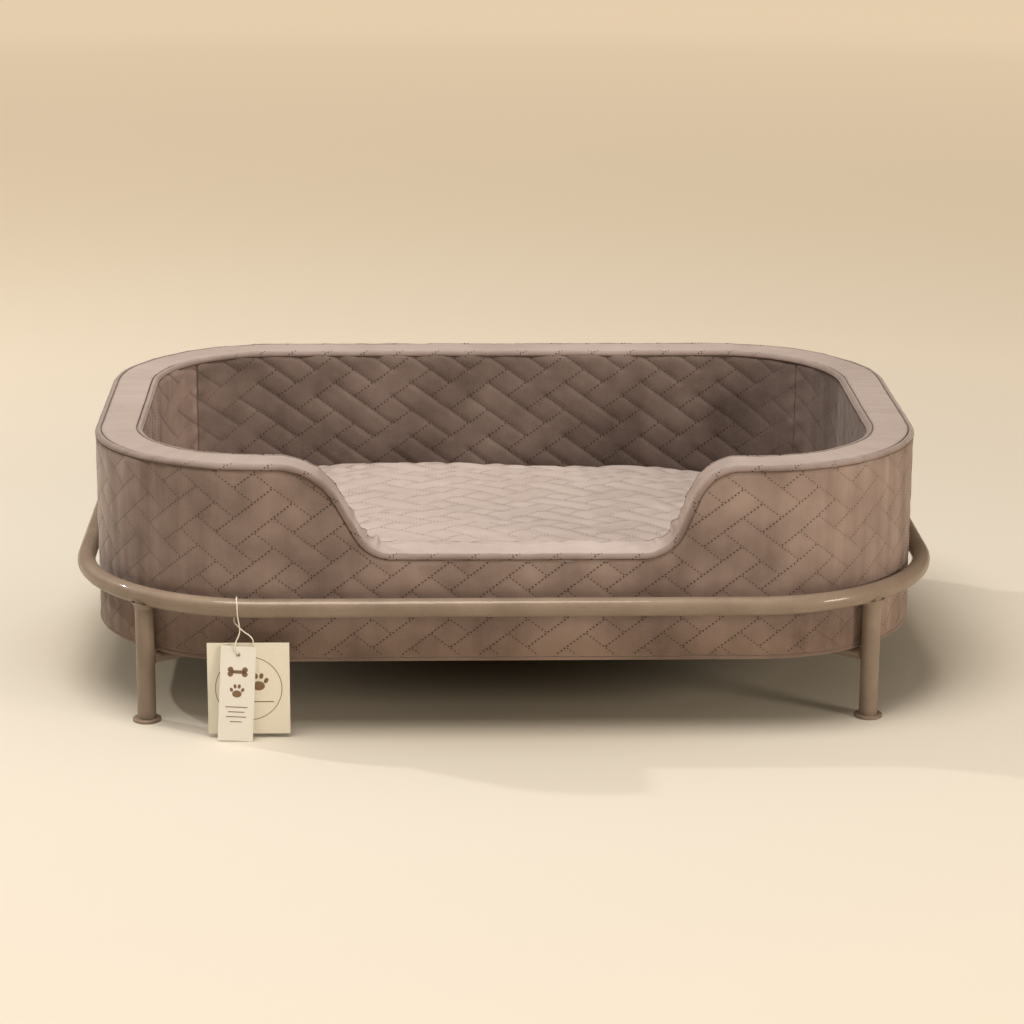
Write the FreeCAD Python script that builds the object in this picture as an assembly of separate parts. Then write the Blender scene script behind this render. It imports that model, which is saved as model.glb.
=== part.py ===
"""Raised dog bed: a soft basket with a low entrance, held in a welded tube frame on four legs.

Millimetres. The origin is on the floor under the middle of the bed. +X runs along the bed's length,
+Y towards the high back wall and +Z up, so the entrance faces -Y.
"""
import FreeCAD, Part
import math
import os

V = FreeCAD.Vector

# ---------------------------------------------------------------- driving dimensions
# Frame
LENGTH = 900.0              # over the ring tube
DEPTH = 600.0
RING_TUBE = 19.0            # outside diameter
RING_CENTRE_Z = 132.5
RING_CORNER = 196.0         # bend radius of the tube's centreline
TUBE_WALL = 1.2
LEG_BEARING = 50.5          # degrees round the corner bend from the X axis to each leg
FOOT_DIAMETER = 29.2
FOOT_THICK = 3.0
FOOT_EDGE = 1.2             # rounding of the foot's top edge
BRACE_TUBE = 12.0
BRACE_GAP = 0.3             # under the basket
LEG_EAR = 3.0               # the coped leg ends this far under the ring's middle
WELD_REACH = 3.0            # how far a fillet weld stands out from the tube
WELD_HEIGHT = 6.0
WELD_CLEARANCE = 0.7        # the welds beside the basket are ground back this far from it

# Basket
BASKET_HALF_X = 427.5
BASKET_HALF_Y = 278.0
BASKET_CORNER = 179.0
BASKET_BOTTOM = 72.0
BASKET_TOP = 274.5
WALL_THICK = 50.0
CLOTH = 2.0                 # quilted cloth with its thin wadding
THIN_CLOTH = 1.3            # plain cloth under the basket and under the mattress
BOARD = 5.0
PIPING = 7.0                # edge roll diameter on the two top edges
BOTTOM_PIPING = 4.0
SEAM_X = 340.0              # upright seams of the inner cover, near the back corners
SEAM_GAP = 0.4

# Entrance in the front wall: X of the shoulder and of the foot of each slope, and their bend radii
ENTRANCE_SILL = 183.5
LEFT_SLOPE = {"shoulder_x": -192.1, "foot_x": -140.1, "shoulder_r": 74.0, "foot_r": 38.0}
RIGHT_SLOPE = {"shoulder_x": 196.7, "foot_x": 158.7, "shoulder_r": 50.0, "foot_r": 40.0}

# Mattress
MATTRESS_GAP = 2.0          # to the wall all round
REST_GAP = 0.3              # under parts that lift out
MATTRESS_TOP = 172.0        # at the middle of its crown
MATTRESS_SIDE = 148.0       # height that the crown falls to at the middle of each long side
CROWN_LEVEL = 400.0         # length of the crown's ridge before it falls towards the ends
MATTRESS_EDGE = 14.0        # rounding of its top edge

# Shop tags, hung on the front of the ring by a string
TAG_X = -272.0
CARD_THICK = 0.6
LARGE_CARD = {"width": 82.0, "height": 95.5, "middle_x": -262.3, "top": 99.6, "front_y": -300.3}
SMALL_CARD = {"width": 35.0, "height": 96.5, "middle_x": -271.4, "top": 97.0, "middle_y": -303.2}
SMALL_CARD_TURN = 2.8       # degrees in its own plane
SMALL_CARD_TILT = 5.7       # degrees, its foot standing out
HOLE = 4.5                  # in the small card
HOLE_DROP = 8.4             # from the card's top edge to the middle of its hole
STRING = 1.3
STRING_ROUTE = [
    (-272.0, -300.3, 88.2),
    (-272.4, -305.4, 88.8),
    (-274.6, -305.6, 94.2),
    (-274.9, -303.8, 100.6),
    (-270.6, -301.8, 108.6),
    (-269.9, -300.6, 115.6),
    (-272.3, -299.9, 125.5),
    (-272.5, -299.3, 138.6),
    (-274.0, -288.3, 144.8),
    (-273.1, -277.8, 138.6),
    (-273.9, -277.8, 126.4),
    (-277.5, -289.8, 119.0),
    (-272.0, -295.6, 115.2),
    (-266.4, -299.0, 110.8),
    (-260.0, -301.2, 107.4),
    (-256.8, -301.7, 102.8),
    (-257.2, -301.7, 96.6),
    (-260.0, -301.6, 92.4),
    (-263.0, -300.3, 90.2),
]
ARC_SHARE = 0.45            # of the shorter run beside a point, used up by the point's arc

# ---------------------------------------------------------------- worked-out places
RING_HALF_X = (LENGTH - RING_TUBE) / 2
RING_HALF_Y = (DEPTH - RING_TUBE) / 2
LEG_X = RING_HALF_X - RING_CORNER + RING_CORNER * math.cos(math.radians(LEG_BEARING))
LEG_Y = RING_HALF_Y - RING_CORNER + RING_CORNER * math.sin(math.radians(LEG_BEARING))
BRACE_Z = BASKET_BOTTOM - BRACE_GAP - BRACE_TUBE / 2
BOARD_LOW = BASKET_BOTTOM + THIN_CLOTH
BOARD_HIGH = BOARD_LOW + BOARD
FLOOR_Z = BOARD_HIGH + THIN_CLOTH
CORNERS = {"front_left": (-1, -1), "front_right": (1, -1), "back_left": (-1, 1), "back_right": (1, 1)}
FAR = 2 * LENGTH            # longer than anything, for cutting tools

os.makedirs("parts", exist_ok=True)


# ---------------------------------------------------------------- helpers
def save(name, shape):
    """Write one sub-part and say how big it is."""
    shape = shape.removeSplitter()
    shape.exportStep(f"parts/{name}.step")
    box = shape.BoundBox
    print(f"{name}: {len(shape.Solids)} solid, valid {shape.isValid()}, {shape.Volume / 1000:.2f} cm3, "
          f"z {box.ZMin:.1f} to {box.ZMax:.1f}")
    return shape


def rounded_wire(points, radii, closed=False):
    """Straight runs through the points, joined by tangent arcs of the given radii at the corners."""
    points = [V(*p) for p in points]
    count = len(points)
    corners = range(count) if closed else range(1, count - 1)
    edges = []
    start = points[0]
    first = None
    for i in corners:
        before = (points[i] - points[i - 1]).normalize()
        after = (points[(i + 1) % count] - points[i]).normalize()
        half = before.getAngle(after) / 2
        reach = radii[i] * math.tan(half)
        bend_in = points[i] - before * reach
        bend_out = points[i] + after * reach
        inward = (after - before).normalize()
        middle = points[i] + inward * (radii[i] / math.cos(half) - radii[i])
        if first is None and closed:
            first = bend_in
        elif (bend_in - start).Length > 1e-6:
            edges.append(Part.LineSegment(start, bend_in).toShape())
        edges.append(Part.Arc(bend_in, middle, bend_out).toShape())
        start = bend_out
    end = first if closed else points[-1]
    if (end - start).Length > 1e-6:
        edges.append(Part.LineSegment(start, end).toShape())
    return Part.Wire(edges)


def cord_radii(route):
    """The largest arc that the runs beside each point leave room for."""
    radii = [0.0] * len(route)
    for i in range(1, len(route) - 1):
        before = V(*route[i]) - V(*route[i - 1])
        after = V(*route[i + 1]) - V(*route[i])
        half = before.getAngle(after) / 2
        radii[i] = ARC_SHARE * min(before.Length, after.Length) / math.tan(half)
    return radii


def tube_along(wire, diameter):
    """A solid round bar whose middle follows a wire."""
    edge = wire.OrderedEdges[0]
    start = edge.valueAt(edge.FirstParameter)
    heading = edge.tangentAt(edge.FirstParameter)
    section = Part.Wire(Part.makeCircle(diameter / 2, start, heading))
    return wire.makePipeShell([section], True, False)


def loop_face(half_x, half_y, corner, z):
    """A flat rounded rectangle, centred on the Z axis."""
    points = [(-half_x, -half_y, z), (half_x, -half_y, z), (half_x, half_y, z), (-half_x, half_y, z)]
    return Part.Face(rounded_wire(points, [corner] * 4, closed=True))


def slab(inset, low, high):
    """The basket's plan drawn in by inset, as a solid from low to high."""
    face = loop_face(BASKET_HALF_X - inset, BASKET_HALF_Y - inset, BASKET_CORNER - inset, low)
    return face.extrude(V(0, 0, high - low))


def slope_corners(slope, side, drop):
    """Shoulder and foot of one slope of the entrance, moved into the wall by drop."""
    angle = math.atan2(BASKET_TOP - ENTRANCE_SILL, abs(slope["shoulder_x"] - slope["foot_x"]))
    shift = side * drop * math.tan(angle / 2)
    shoulder = (slope["shoulder_x"] + shift, BASKET_TOP - drop, slope["shoulder_r"] - drop)
    foot = (slope["foot_x"] + shift, ENTRANCE_SILL - drop, slope["foot_r"] + drop)
    return shoulder, foot


def entrance_corners(drop):
    """The four corners of the entrance's outline from left to right, as (x, z, bend radius)."""
    left_shoulder, left_foot = slope_corners(LEFT_SLOPE, -1, drop)
    right_shoulder, right_foot = slope_corners(RIGHT_SLOPE, 1, drop)
    return [left_shoulder, left_foot, right_foot, right_shoulder]


def entrance_tool(drop):
    """What the entrance takes out of the front wall, grown into the wall by drop."""
    corners = entrance_corners(drop)
    level = BASKET_TOP - drop
    ends = [-BASKET_HALF_X + BASKET_CORNER, BASKET_HALF_X - BASKET_CORNER]
    y = -BASKET_HALF_Y - WALL_THICK
    points = [(ends[0], y, level)] + [(x, y, z) for x, z, r in corners] + [(ends[1], y, level)]
    edge = rounded_wire(points, [0.0] + [r for x, z, r in corners] + [0.0])
    roof = [V(*points[-1]), V(ends[1], y, level + FAR), V(ends[0], y, level + FAR), V(*points[0])]
    outline = Part.Wire(edge.Edges + Part.makePolygon(roof).Edges)
    return Part.Face(outline).extrude(V(0, 3 * WALL_THICK, 0))


def wall(outer, inner, low, drop):
    """A stretch of the wall between two insets from the outer face, up to drop under the top."""
    ring = slab(outer, low, BASKET_TOP - drop).cut(slab(inner, low - 1, BASKET_TOP + 1))
    return ring.cut(entrance_tool(drop))


def edge_roll(inset, drop, diameter):
    """A round roll that follows the wall's top edge, through the entrance."""
    half_x = BASKET_HALF_X - inset
    half_y = BASKET_HALF_Y - inset
    level = BASKET_TOP - drop
    corners = entrance_corners(drop)
    points = [(0, half_y, level), (-half_x, half_y, level), (-half_x, -half_y, level)]
    points += [(x, -half_y, z) for x, z, r in corners]
    points += [(half_x, -half_y, level), (half_x, half_y, level), (0, half_y, level)]
    corner = BASKET_CORNER - inset
    radii = [0.0, corner, corner] + [r for x, z, r in corners] + [corner, corner, 0.0]
    return tube_along(rounded_wire(points, radii), diameter)


# ---------------------------------------------------------------- frame
def tube_loop(half_x, half_y, corner, z, diameter):
    """A round bar along a rounded rectangle, closed at the middle of the back."""
    loop = [(0, half_y), (-half_x, half_y), (-half_x, -half_y), (half_x, -half_y), (half_x, half_y)]
    route = [(x, y, z) for x, y in loop + loop[:1]]
    return tube_along(rounded_wire(route, [0.0] + [corner] * 4 + [0.0]), diameter)


def ring_bar(diameter):
    return tube_loop(RING_HALF_X, RING_HALF_Y, RING_CORNER, RING_CENTRE_Z, diameter)


def leg_bar(side_x, side_y, diameter):
    height = RING_CENTRE_Z - LEG_EAR - FOOT_THICK
    return Part.makeCylinder(diameter / 2, height, V(side_x * LEG_X, side_y * LEG_Y, FOOT_THICK))


def foot(side_x, side_y):
    disc = Part.makeCylinder(FOOT_DIAMETER / 2, FOOT_THICK, V(side_x * LEG_X, side_y * LEG_Y, 0))
    top_edges = [e for e in disc.Edges if abs(e.BoundBox.ZMin - FOOT_THICK) < 1e-6]
    return disc.makeFillet(FOOT_EDGE, top_edges)


def brace_bar(side, diameter):
    """A bar from the front leg on one side to the back leg on the other, leg middle to leg middle."""
    start = V(-side * LEG_X, -LEG_Y, BRACE_Z)
    run = V(side * LEG_X, LEG_Y, BRACE_Z) - start
    return Part.makeCylinder(diameter / 2, run.Length, start, run)


def weld_collar(end, heading, diameter, reach, height):
    """A cone of weld round a tube, which widens along heading and ends at the joint."""
    return Part.makeCone(diameter / 2, diameter / 2 + reach, height, end - heading * height, heading)


def make_frame():
    ring = ring_bar(RING_TUBE)
    save("ring_tube", ring.cut(ring_bar(RING_TUBE - 2 * TUBE_WALL)))

    legs = {}
    for name, (sx, sy) in CORNERS.items():
        legs[name] = leg_bar(sx, sy, RING_TUBE)
        bore = leg_bar(sx, sy, RING_TUBE - 2 * TUBE_WALL)
        save(f"leg_{name}", legs[name].cut(bore).cut(ring))
        save(f"foot_{name}", foot(sx, sy))
    leg_bars = Part.makeCompound(list(legs.values()))

    hollow = BRACE_TUBE - 2 * TUBE_WALL
    long_bar = brace_bar(1, BRACE_TUBE)
    save("brace_long", long_bar.cut(brace_bar(1, hollow)).cut(leg_bars))
    halves = brace_bar(-1, BRACE_TUBE).cut(brace_bar(-1, hollow)).cut(leg_bars).cut(long_bar)
    halves = sorted(halves.Solids, key=lambda s: s.CenterOfMass.y)
    save("brace_half_front", halves[0])
    save("brace_half_back", halves[-1])

    make_welds(ring, leg_bars, [long_bar, brace_bar(-1, BRACE_TUBE)])


def make_welds(ring, leg_bars, bars):
    """Fillet welds under the ring at each leg, and at each end of the cross bars."""
    basket_room = slab(-WELD_CLEARANCE, BASKET_BOTTOM, BASKET_TOP)
    welds = []
    for sx, sy in CORNERS.values():
        top = V(sx * LEG_X, sy * LEG_Y, RING_CENTRE_Z - RING_TUBE / 2 + WELD_REACH)
        collar = weld_collar(top, V(0, 0, 1), RING_TUBE, WELD_REACH, WELD_HEIGHT)
        welds.append(collar.cut(ring).cut(leg_bars).cut(basket_room))
        outward = V(sx * LEG_X, sy * LEG_Y, 0).normalize()
        end = V(sx * LEG_X, sy * LEG_Y, BRACE_Z) - outward * (RING_TUBE - WELD_REACH) / 2
        collar = weld_collar(end, outward, BRACE_TUBE, WELD_REACH / 2, WELD_HEIGHT / 2)
        welds.append(collar.cut(leg_bars).cut(bars[0] if sx == sy else bars[1]))
    save("weld_beads", Part.makeCompound([s for w in welds for s in w.Solids]))


# ---------------------------------------------------------------- basket
def make_basket():
    thin = THIN_CLOTH
    save("underside_cloth", slab(BOTTOM_PIPING, BASKET_BOTTOM, BOARD_LOW))
    save("base_board", slab(BOTTOM_PIPING, BOARD_LOW, BOARD_HIGH))
    save("floor_lining", slab(WALL_THICK, BOARD_HIGH, BOARD_HIGH + thin))

    thick_part = wall(CLOTH, WALL_THICK - CLOTH, BOARD_HIGH, PIPING)
    crest = wall(PIPING, WALL_THICK - PIPING, BOARD_HIGH, CLOTH)
    save("wall_foam", thick_part.fuse(crest))
    save("top_cover", wall(PIPING, WALL_THICK - PIPING, BOARD_HIGH, 0).cut(crest))
    save("outer_cover", wall(0, CLOTH, BASKET_BOTTOM + BOTTOM_PIPING, PIPING))
    make_inner_covers(wall(WALL_THICK - CLOTH, WALL_THICK, BOARD_HIGH, PIPING))

    save("outer_piping", edge_roll(PIPING / 2, PIPING / 2, PIPING))
    save("inner_piping", edge_roll(WALL_THICK - PIPING / 2, PIPING / 2, PIPING))
    inset = BOTTOM_PIPING / 2
    save("bottom_piping", tube_loop(BASKET_HALF_X - inset, BASKET_HALF_Y - inset, BASKET_CORNER - inset,
                                    BASKET_BOTTOM + inset, BOTTOM_PIPING))


def make_inner_covers(inner):
    """The inner cover is three panels: the back, and a side panel each way round to the entrance."""
    tall = FAR
    seam_half = SEAM_GAP / 2
    back = Part.makeBox(2 * (SEAM_X - seam_half), FAR, tall, V(-SEAM_X + seam_half, 0, 0))
    save("inner_cover_back", inner.common(back))
    seam_strip = Part.makeBox(2 * (SEAM_X + seam_half), FAR, tall, V(-SEAM_X - seam_half, 0, 0))
    sides = inner.cut(seam_strip)
    front_x = (LEFT_SLOPE["foot_x"] + RIGHT_SLOPE["foot_x"]) / 2
    for name, corner_x in (("left", front_x - FAR), ("right", front_x)):
        half = Part.makeBox(FAR, 2 * FAR, tall, V(corner_x, -FAR, 0))
        save(f"inner_cover_{name}", sides.common(half))


# ---------------------------------------------------------------- mattress
def crown_tool(half_width, level, heading, top):
    """A bar of large radius that passes through top at half of level and the side height at half_width."""
    fall = MATTRESS_TOP - MATTRESS_SIDE
    radius = (half_width ** 2 - level ** 2 / 4) / (2 * fall)
    crest = top + level ** 2 / (8 * radius)
    return Part.makeCylinder(radius, FAR, V(0, 0, crest - radius) - heading * (FAR / 2), heading)


def mattress_body(inset, low):
    """The mattress drawn in by inset: crowned along and across, with its top edge rounded."""
    side = WALL_THICK + MATTRESS_GAP
    top = MATTRESS_TOP - inset
    body = slab(side + inset, low, top)
    body = body.common(crown_tool(BASKET_HALF_Y - side, 0, V(1, 0, 0), top))
    body = body.common(crown_tool(BASKET_HALF_X - side, CROWN_LEVEL, V(0, 1, 0), top))
    middle = (low + MATTRESS_SIDE) / 2
    rim = [e for e in body.Edges if e.BoundBox.ZMin > middle and is_on_side(e, side + inset)]
    return body.makeFillet(MATTRESS_EDGE - inset, rim)


def is_on_side(edge, inset):
    """Whether an edge runs along the side face of the basket's plan drawn in by inset."""
    point = edge.valueAt((edge.FirstParameter + edge.LastParameter) / 2)
    skin = slab(inset, 0, FAR).Shells[0]
    return skin.distToShape(Part.Vertex(point))[0] < 1e-3


def make_mattress():
    low = FLOOR_Z + REST_GAP
    inside_low = low + THIN_CLOTH
    filling = mattress_body(CLOTH, inside_low)
    save("mattress_filling", filling)
    save("mattress_cover", mattress_body(0, inside_low).cut(filling))
    save("mattress_underside", slab(WALL_THICK + MATTRESS_GAP, low, inside_low))


# ---------------------------------------------------------------- shop tags
def make_tags():
    size = LARGE_CARD
    corner = V(size["middle_x"] - size["width"] / 2, size["front_y"], size["top"] - size["height"])
    save("tag_card_large", Part.makeBox(size["width"], CARD_THICK, size["height"], corner))

    size = SMALL_CARD
    card = Part.makeBox(size["width"], CARD_THICK, size["height"],
                        V(-size["width"] / 2, -CARD_THICK / 2, -size["height"]))
    card = card.cut(Part.makeCylinder(HOLE / 2, FAR, V(0, -FAR / 2, -HOLE_DROP), V(0, 1, 0)))
    card.rotate(V(0, 0, 0), V(0, 1, 0), SMALL_CARD_TURN)
    card.rotate(V(0, 0, 0), V(1, 0, 0), -SMALL_CARD_TILT)
    card.translate(V(size["middle_x"], size["middle_y"], size["top"]))
    save("tag_card_small", card)

    radii = cord_radii(STRING_ROUTE)
    path = rounded_wire(STRING_ROUTE, radii)
    string = save("tag_string", tube_along(path, STRING))
    print("string radii", [round(r, 1) for r in radii[1:-1]])
    section = math.pi * STRING ** 2 / 4
    print(f"string length {path.Length:.1f} mm, volume over section times length "
          f"{string.Volume / section / path.Length:.4f}")


make_frame()
make_basket()
make_mattress()
make_tags()
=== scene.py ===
"""Looks of the raised dog bed: quilted velvet basket and mattress, satin tube frame, shop tags."""
import bmesh
import bpy
import math
import numpy as np
from mathutils import Matrix, Vector
from mathutils.bvhtree import BVHTree


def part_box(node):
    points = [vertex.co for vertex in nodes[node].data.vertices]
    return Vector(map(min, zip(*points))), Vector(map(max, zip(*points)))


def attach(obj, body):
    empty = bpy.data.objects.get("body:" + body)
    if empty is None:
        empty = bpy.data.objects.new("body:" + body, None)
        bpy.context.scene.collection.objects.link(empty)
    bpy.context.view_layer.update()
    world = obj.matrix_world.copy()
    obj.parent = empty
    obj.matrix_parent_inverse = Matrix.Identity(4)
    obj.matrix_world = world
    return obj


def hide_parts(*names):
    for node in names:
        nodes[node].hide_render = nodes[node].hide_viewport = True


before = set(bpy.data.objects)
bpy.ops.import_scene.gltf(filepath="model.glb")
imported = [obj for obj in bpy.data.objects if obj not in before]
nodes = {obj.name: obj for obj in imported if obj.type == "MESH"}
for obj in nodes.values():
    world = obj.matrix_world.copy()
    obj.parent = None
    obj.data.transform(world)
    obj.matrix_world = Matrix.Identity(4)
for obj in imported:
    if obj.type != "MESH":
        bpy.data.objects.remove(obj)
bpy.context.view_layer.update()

# ---- places taken from the frame, metres
HALF_X, HALF_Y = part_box("outer_cover")[1][:2]
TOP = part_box("inner_piping")[1][2]
WALL = HALF_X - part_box("floor_lining")[1][0]
CORNER = 0.179                      # plan radius of the basket's outer corners
BASKET_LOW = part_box("underside_cloth")[0][2]
FLOOR_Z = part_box("floor_lining")[1][2]
SILL = 0.1835
LEFT_SLOPE = (-0.1921, -0.1401, 0.074, 0.038)       # shoulder X, foot X, shoulder radius, foot radius
RIGHT_SLOPE = (0.1967, 0.1587, 0.050, 0.040)
RING_Z = 0.1325                     # height of the middle of the frame's ring
MATTRESS_LOW, MATTRESS_TOP = (corner[2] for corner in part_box("mattress_cover"))


# ---- camera, light and floor
def new_object(name, data):
    thing = bpy.data.objects.new(name, data)
    bpy.context.scene.collection.objects.link(thing)
    return thing


def new_mesh(name, points, faces):
    mesh = bpy.data.meshes.new(name)
    mesh.from_pydata(points, [], faces)
    return mesh


CAMERA_PLACE = (-0.10286, -3.24741, 1.05958)
CAMERA_LENS = 109.09                # mm, on a sensor 36 mm wide
CAMERA_DOWN, CAMERA_RIGHT, CAMERA_ROLL = 15.64, 2.0, 0.33       # degrees


def make_camera():
    data = bpy.data.cameras.new("camera")
    data.sensor_width = 36.0
    data.lens = CAMERA_LENS
    data.clip_end = 50.0
    camera = new_object("camera", data)
    matrix = Matrix.Translation(CAMERA_PLACE)
    for angle, axis in ((-CAMERA_RIGHT, "Z"), (90 - CAMERA_DOWN, "X"), (CAMERA_ROLL, "Z")):
        matrix = matrix @ Matrix.Rotation(math.radians(angle), 4, axis)
    camera.matrix_world = matrix
    bpy.context.scene.camera = camera


def make_light(name, place, target, size, power, colour):
    data = bpy.data.lights.new(name, "AREA")
    data.shape = "DISK"
    data.size = size
    data.energy = power
    data.color = colour
    lamp = new_object(name, data)
    lamp.location = place
    lamp.rotation_euler = (Vector(target) - Vector(place)).to_track_quat("-Z", "Y").to_euler()


def make_studio():
    bpy.context.scene.view_settings.view_transform = "Standard"
    make_light("key", (-2.64, 1.10, 2.25), (0.0, 0.0, 0.1), 0.12, 36, (1.0, 0.94, 0.85))
    make_light("softbox", (-0.45, -0.65, 3.00), (0.0, 0.0, 0.1), 1.7, 82, (1.0, 0.92, 0.83))
    make_light("fill", (3.0, -2.1, 1.20), (0.0, 0.0, 0.15), 1.0, 52, (1.0, 0.87, 0.72))
    world = bpy.data.worlds.new("world")
    world.use_nodes = True
    sky = world.node_tree.nodes["Background"].inputs
    sky["Color"].default_value = (1.0, 0.76, 0.50, 1)
    sky["Strength"].default_value = 0.12
    bpy.context.scene.world = world

    half, back = 9.0, 14.0
    corners = [(-half, -half, 0), (half, -half, 0), (half, back, 0), (-half, back, 0)]
    mesh = new_mesh("backdrop", corners, [(0, 1, 2, 3)])
    mesh.materials.append(backdrop_material())
    new_object("backdrop", mesh)


# ---- materials
class Shader:
    """A node material with a Principled shader, and short calls to add to it."""

    def __init__(self, name, colour, roughness, metallic=0.0):
        self.material = bpy.data.materials.new(name)
        self.material.use_nodes = True
        self.tree = self.material.node_tree
        self.main = self.tree.nodes["Principled BSDF"]
        self.keep({"Base Color": (*colour, 1), "Roughness": roughness, "Metallic": metallic})
        self.material.diffuse_color = (*colour, 1)

    def keep(self, values):
        """Constant values for the shader's own inputs."""
        for key, value in values.items():
            self.main.inputs[key].default_value = value

    def feed(self, value, socket):
        """Link an output to a socket, or give it a number or a colour."""
        if isinstance(value, (int, float)):
            socket.default_value = value
        elif isinstance(value, tuple):
            socket.default_value = (*value, 1)
        else:
            self.link(value, socket)

    def node(self, kind, **values):
        made = self.tree.nodes.new(kind)
        for key, value in values.items():
            setattr(made, key, value)
        return made

    def link(self, source, target):
        self.tree.links.new(source, target)

    def place(self, scale=(1, 1, 1), space="Object"):
        """Coordinates of one kind, stretched by scale."""
        coordinates = self.node("ShaderNodeTexCoord")
        mapping = self.node("ShaderNodeMapping")
        mapping.inputs["Scale"].default_value = scale
        self.link(coordinates.outputs[space], mapping.inputs["Vector"])
        return mapping.outputs["Vector"]

    def noise(self, scale, detail=2.0, rough=0.5, at=None):
        made = self.node("ShaderNodeTexNoise")
        for key, value in (("Scale", scale), ("Detail", detail), ("Roughness", rough)):
            made.inputs[key].default_value = value
        self.link(at or self.place(), made.inputs["Vector"])
        return made.outputs["Fac"]

    def ramp(self, value, stops, between="LINEAR"):
        made = self.node("ShaderNodeValToRGB")
        ramp = made.color_ramp
        ramp.interpolation = between
        while len(ramp.elements) < len(stops):
            ramp.elements.new(0.5)
        for element, (position, colour) in zip(ramp.elements, stops):
            element.position = position
            element.color = (*colour, 1)
        self.link(value, made.inputs["Fac"])
        return made.outputs["Color"]

    def mix(self, factor, first, second, how="MIX"):
        made = self.node("ShaderNodeMix", data_type="RGBA", blend_type=how)
        for value, number in ((factor, 0), (first, 6), (second, 7)):
            self.feed(value, made.inputs[number])
        return made.outputs[2]

    def math(self, how, first, second):
        made = self.node("ShaderNodeMath", operation=how)
        self.feed(first, made.inputs[0])
        self.feed(second, made.inputs[1])
        return made.outputs[0]

    def axis(self, name, vector):
        """One coordinate of a vector."""
        made = self.node("ShaderNodeSeparateXYZ")
        self.link(vector, made.inputs[0])
        return made.outputs[name]

    def length(self, vector):
        made = self.node("ShaderNodeVectorMath", operation="LENGTH")
        self.link(vector, made.inputs[0])
        return made.outputs["Value"]

    def bump(self, height, strength, distance, after=None):
        made = self.node("ShaderNodeBump")
        made.inputs["Strength"].default_value = strength
        made.inputs["Distance"].default_value = distance
        self.link(height, made.inputs["Height"])
        if after is not None:
            self.link(after, made.inputs["Normal"])
        self.link(made.outputs["Normal"], self.main.inputs["Normal"])
        return made.outputs["Normal"]

    def colour(self, source):
        self.link(source, self.main.inputs["Base Color"])


def greys(*stops):
    """Stops of a ramp between greys, from (position, brightness) pairs."""
    return [(position, (grey,) * 3) for position, grey in stops]


def wall_stops(painted_light, limit):
    """Stops of a ramp over twice the way round the wall, from (place, tone) pairs, tones divided by limit."""
    return greys(*(((place + AROUND / 2) / (2 * AROUND), tone / limit) for place, tone in painted_light))


UPRIGHT_PILE = [(0.35, (0.194, 0.141, 0.121)), (0.50, (0.294, 0.219, 0.192)), (0.65, (0.396, 0.303, 0.266))]
PAINTED_LIGHT_LIMIT = 1.5                    # the brightest painted light along a wall; its ramp holds the tones divided by this
TOP_PAINTED_LIGHT = (-1.1, 0.97), (-0.75, 1.0), (-0.45, 0.94), (-0.2, 0.86), (0.9, 0.86), (1.1, 0.97)


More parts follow.
